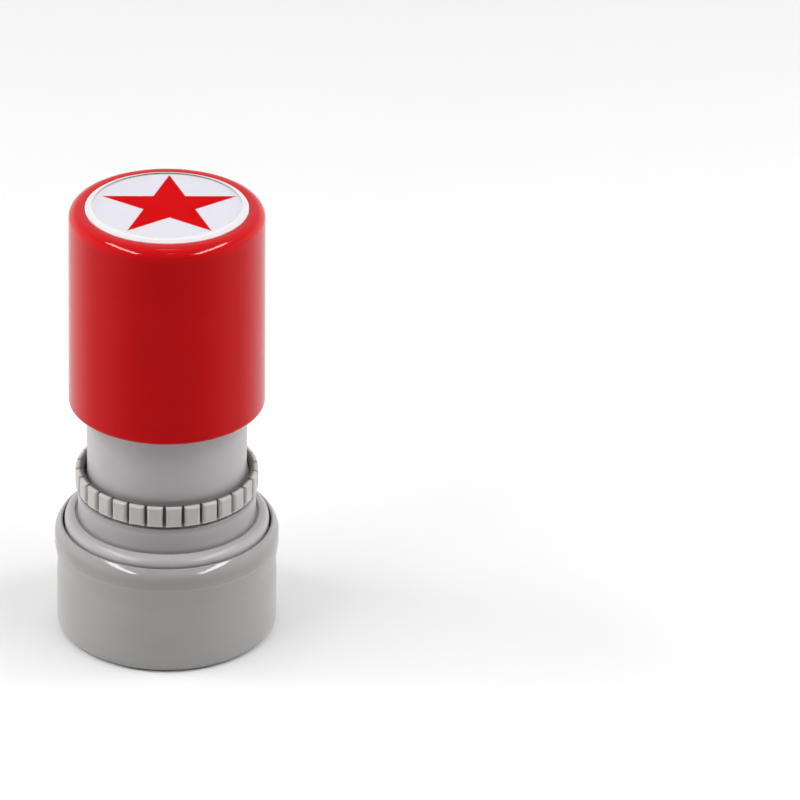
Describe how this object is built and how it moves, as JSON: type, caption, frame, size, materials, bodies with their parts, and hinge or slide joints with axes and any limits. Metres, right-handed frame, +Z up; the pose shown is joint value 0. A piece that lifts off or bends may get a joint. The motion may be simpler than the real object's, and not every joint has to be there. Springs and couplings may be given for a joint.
{
  "type": "rubber stamp",
  "caption": "Round pre-inked hand stamp on its dust cap: a red push handle with a star label under a clear lens, a grey neck with a toothed depth ring, and a sprung die.",
  "frame": {"origin": "centre of the dust cap's flat underside", "axes": "+Z up along the stamp's axis; the user faces -Y and the star on the label points to +Y"},
  "size_m": [0.0305, 0.0304, 0.0629],
  "materials": {
    "handle_red": "glossy moulded ABS",
    "body_grey": "semi-gloss moulded ABS",
    "ring_grey": "satin moulded ABS, slightly warmer grey",
    "cap_grey": "glossy lip, satin wall",
    "holder_grey": "plain moulded acetal",
    "lens_clear": "clear polished acrylic",
    "label_paper": "printed paper disc, red star on pale grey",
    "die_rubber": "microporous rubber, inked red",
    "ink_felt": "felt soaked with red ink",
    "spring_steel": "drawn spring wire, ground ends"
  },
  "bodies": {
    "cap": {"dust_cap": "cap_grey"},
    "sleeve": {"neck_tube": "body_grey", "foot_skirt": "body_grey", "return_spring": "spring_steel"},
    "ring": {"depth_ring": "ring_grey"},
    "core": {"die_holder": "holder_grey", "ink_pad": "ink_felt", "stamp_die": "die_rubber", "clamp_ring": "holder_grey", "spring_clip": "holder_grey"},
    "handle": {"handle_shell": "handle_red", "index_label": "label_paper"},
    "lens": {"window_lens": "lens_clear"}
  },
  "joints": [
    {"name": "stamp_lift", "type": "slide", "parent": "cap", "child": "sleeve", "axis": [0, 0, 1], "range_m": [0, 0.03]},
    {"name": "press", "type": "slide", "parent": "sleeve", "child": "core", "axis": [0, 0, -1], "range_m": [0, 0.00995], "stiffness_N_per_m": 400, "springref_m": -0.01, "deforming": ["return_spring"]},
    {"name": "ring_turn", "type": "hinge", "parent": "sleeve", "child": "ring", "pos_m": [0, 0, 0.02243], "axis": [0, 0, 1], "range_deg": [-70, 70]},
    {"name": "handle_pull", "type": "slide", "parent": "core", "child": "handle", "axis": [0, 0, 1], "range_m": [0, 0.02]},
    {"name": "lens_lift", "type": "slide", "parent": "handle", "child": "lens", "axis": [0, 0, 1], "range_m": [0, 0.006]}
  ]
}
